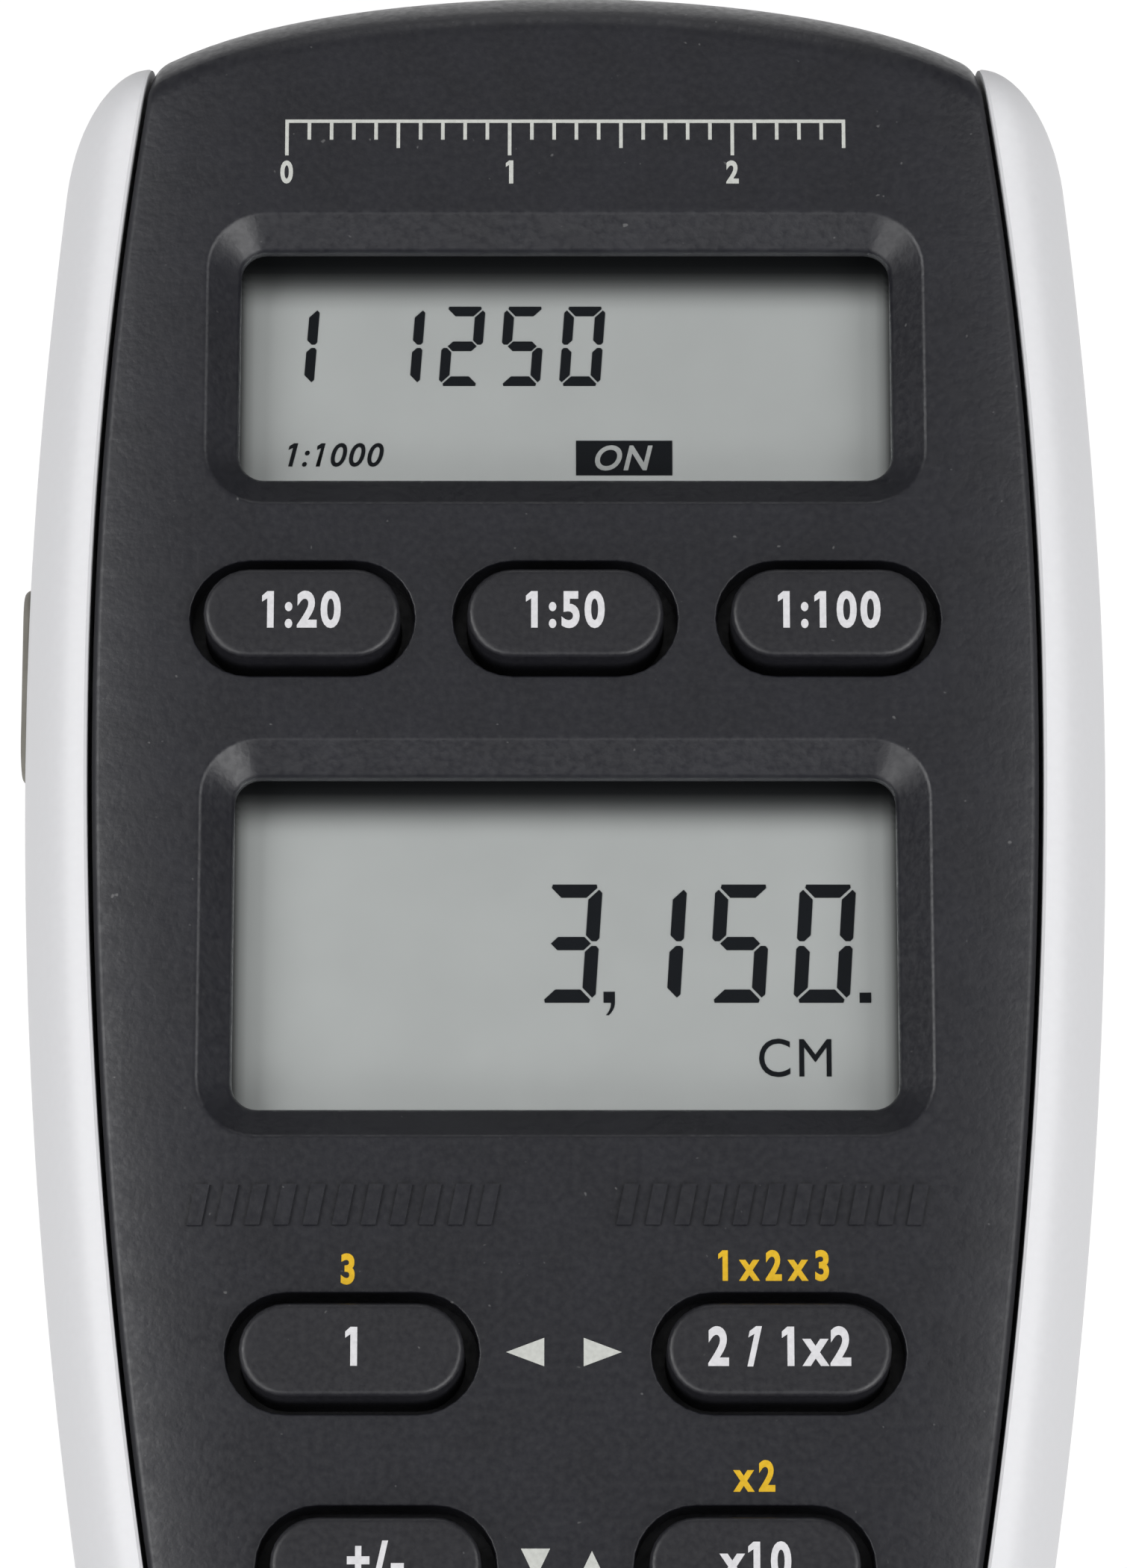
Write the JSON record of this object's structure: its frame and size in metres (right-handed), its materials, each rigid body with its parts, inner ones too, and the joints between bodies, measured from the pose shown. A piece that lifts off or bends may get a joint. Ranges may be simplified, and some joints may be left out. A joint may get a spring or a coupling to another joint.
{
  "type": "digital plan measure",
  "caption": "Slim hand-held plan measure with a measuring wheel at its tip, recessed displays, oval rubber keys, a side button and bright side rails.",
  "frame": {"origin": "on the flat back, on the centre line, at half of the overall length", "axes": "+Z out of the face with the displays and keys, +Y along the body towards the displays, away from the measuring wheel, +X to the right seen from the front"},
  "size_m": [0.0488, 0.183, 0.017],
  "materials": {
    "charcoal_plastic": "fine matt moulded texture",
    "silver_plastic": "satin silver paint on moulded plastic",
    "clear_window": "clear polished acrylic",
    "display_glass": "grey-green liquid crystal cell",
    "white_plastic": "matt moulded",
    "pink_silicone": "soft conductive strip",
    "board_green": "satin solder mask",
    "chip_black": "matt epoxy",
    "tin_plate": "tin plated",
    "capacitor_tan": "ceramic",
    "mat_rubber": "moulded silicone",
    "key_rubber": "matt silicone",
    "side_button_rubber": "matt silicone",
    "wheel_metal": "turned",
    "tyre_rubber": "matt rubber",
    "steel": "ground",
    "washer_plastic": "natural acetal",
    "disc_plastic": "matt moulded",
    "bush_brass": "turned",
    "cell_steel": "nickel plated",
    "screw_steel": "zinc plated"
  },
  "bodies": {
    "body": {"front_cover": "charcoal_plastic", "rear_cover": "charcoal_plastic", "left_side_rail": "silver_plastic", "right_side_rail": "silver_plastic", "upper_display_window": "clear_window", "lower_display_window": "clear_window", "upper_display_glass": "display_glass", "lower_display_glass": "display_glass", "upper_display_frame": "white_plastic", "lower_display_frame": "white_plastic", "upper_contact_strip": "pink_silicone", "lower_contact_strip": "pink_silicone", "circuit_board": "board_green", "main_chip": "chip_black", "crystal": "tin_plate", "board_capacitors": "capacitor_tan", "upper_key_mat": "mat_rubber", "lower_key_mat": "mat_rubber", "side_switch": "tin_plate", "axle_washers": "washer_plastic", "front_axle_bush": "bush_brass", "rear_axle_bush": "bush_brass", "light_sensor": "chip_black", "coin_cell": "cell_steel", "battery_plus_clip": "tin_plate", "battery_minus_spring": "tin_plate", "cover_screws": "screw_steel"},
    "function_key_left": {"function_key_left": "key_rubber"},
    "function_key_middle": {"function_key_middle": "key_rubber"},
    "function_key_right": {"function_key_right": "key_rubber"},
    "first_row_key_left": {"first_row_key_left": "key_rubber"},
    "first_row_key_right": {"first_row_key_right": "key_rubber"},
    "second_row_key_left": {"second_row_key_left": "key_rubber"},
    "second_row_key_right": {"second_row_key_right": "key_rubber"},
    "third_row_key_left": {"third_row_key_left": "key_rubber"},
    "third_row_key_right": {"third_row_key_right": "key_rubber"},
    "side_button": {"side_button": "side_button_rubber"},
    "measuring_wheel": {"wheel_hub": "wheel_metal", "wheel_tyre": "tyre_rubber", "wheel_axle": "steel", "encoder_disc": "disc_plastic"},
    "battery_door": {"battery_door": "charcoal_plastic"}
  },
  "joints": [
    {"name": "function_key_left_press", "type": "slide", "parent": "body", "child": "function_key_left", "axis": [0, 0, -1], "range_m": [0, 0.0007], "stiffness_N_per_m": 600, "springref_m": -0.0002, "deforming": ["upper_key_mat"]},
    {"name": "function_key_middle_press", "type": "slide", "parent": "body", "child": "function_key_middle", "axis": [0, 0, -1], "range_m": [0, 0.0007], "stiffness_N_per_m": 600, "springref_m": -0.0002, "deforming": ["upper_key_mat"]},
    {"name": "function_key_right_press", "type": "slide", "parent": "body", "child": "function_key_right", "axis": [0, 0, -1], "range_m": [0, 0.0007], "stiffness_N_per_m": 600, "springref_m": -0.0002, "deforming": ["upper_key_mat"]},
    {"name": "first_row_key_left_press", "type": "slide", "parent": "body", "child": "first_row_key_left", "axis": [0, 0, -1], "range_m": [0, 0.0007], "stiffness_N_per_m": 600, "springref_m": -0.0002, "deforming": ["lower_key_mat"]},
    {"name": "first_row_key_right_press", "type": "slide", "parent": "body", "child": "first_row_key_right", "axis": [0, 0, -1], "range_m": [0, 0.0007], "stiffness_N_per_m": 600, "springref_m": -0.0002, "deforming": ["lower_key_mat"]},
    {"name": "second_row_key_left_press", "type": "slide", "parent": "body", "child": "second_row_key_left", "axis": [0, 0, -1], "range_m": [0, 0.0007], "stiffness_N_per_m": 600, "springref_m": -0.0002, "deforming": ["lower_key_mat"]},
    {"name": "second_row_key_right_press", "type": "slide", "parent": "body", "child": "second_row_key_right", "axis": [0, 0, -1], "range_m": [0, 0.0007], "stiffness_N_per_m": 600, "springref_m": -0.0002, "deforming": ["lower_key_mat"]},
    {"name": "third_row_key_left_press", "type": "slide", "parent": "body", "child": "third_row_key_left", "axis": [0, 0, -1], "range_m": [0, 0.0007], "stiffness_N_per_m": 600, "springref_m": -0.0002, "deforming": ["lower_key_mat"]},
    {"name": "third_row_key_right_press", "type": "slide", "parent": "body", "child": "third_row_key_right", "axis": [0, 0, -1], "range_m": [0, 0.0007], "stiffness_N_per_m": 600, "springref_m": -0.0002, "deforming": ["lower_key_mat"]},
    {"name": "side_button_press", "type": "slide", "parent": "body", "child": "side_button", "axis": [1, 0, 0], "range_m": [0, 0.00035], "stiffness_N_per_m": 800, "springref_m": -0.0001},
    {"name": "measuring_wheel_turn", "type": "hinge", "parent": "body", "child": "measuring_wheel", "pos_m": [0, -0.0845, 0.008], "axis": [0, 0, 1], "continuous": true},
    {"name": "battery_door_turn", "type": "hinge", "parent": "body", "child": "battery_door", "pos_m": [0, 0.0465, 0.001], "axis": [0, 0, -1], "range_deg": [0, 40]}
  ]
}
